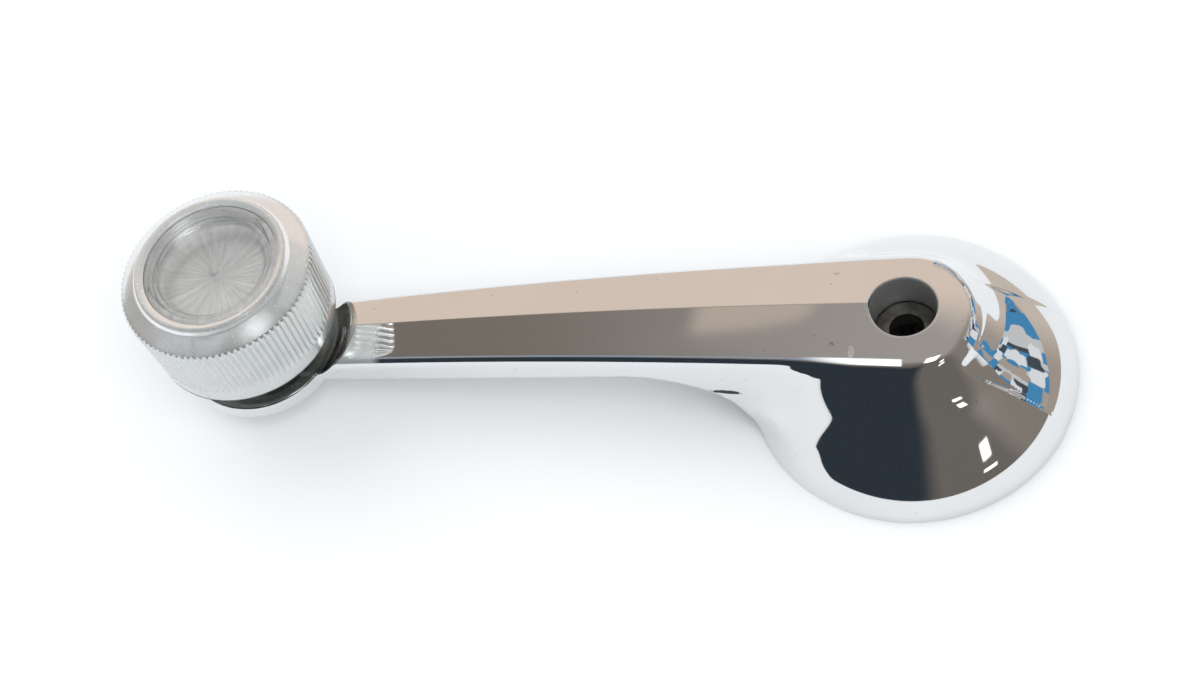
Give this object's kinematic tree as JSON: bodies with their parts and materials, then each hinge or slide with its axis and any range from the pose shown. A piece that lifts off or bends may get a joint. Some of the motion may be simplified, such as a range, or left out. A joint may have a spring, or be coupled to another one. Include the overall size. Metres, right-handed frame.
{
  "type": "window crank handle",
  "caption": "Chromed die-cast window crank with a bell-shaped hub, a splined drive sleeve, and a clear knurled knob that turns freely on a riveted spindle.",
  "frame": {"origin": "on the hub axis, in the plane of the bell's rim, where the drive shaft enters", "axes": "+Z out of the door along the hub axis towards the knob's top, -X along the arm to the knob"},
  "size_m": [0.1473, 0.0508, 0.0347],
  "materials": {
    "chrome_plate": "polished chrome plate, lightly pitted and scuffed near the knob",
    "dark_steel": "oiled, dull",
    "bright_steel": "turned, bright",
    "black_fibre": "dull, pressed fibre",
    "spring_steel": "blued",
    "zinc_plated_steel": "plated, satin",
    "clear_acrylic": "clear moulded acrylic, finely scuffed",
    "silver_foil": "silvered, with pressed rays"
  },
  "bodies": {
    "crank": {"crank_arm": "chrome_plate", "spline_sleeve": "dark_steel", "knob_spindle": "bright_steel", "thrust_washer": "black_fibre"},
    "knob": {"knob_bushing": "zinc_plated_steel", "wave_washer": "spring_steel", "knob_body": "clear_acrylic", "knob_reflector": "silver_foil", "knob_lens": "clear_acrylic"}
  },
  "joints": [
    {"name": "knob_spin", "type": "hinge", "parent": "crank", "child": "knob", "pos_m": [-0.1062, 0, 0.02], "axis": [0, 0, 1], "continuous": true}
  ]
}
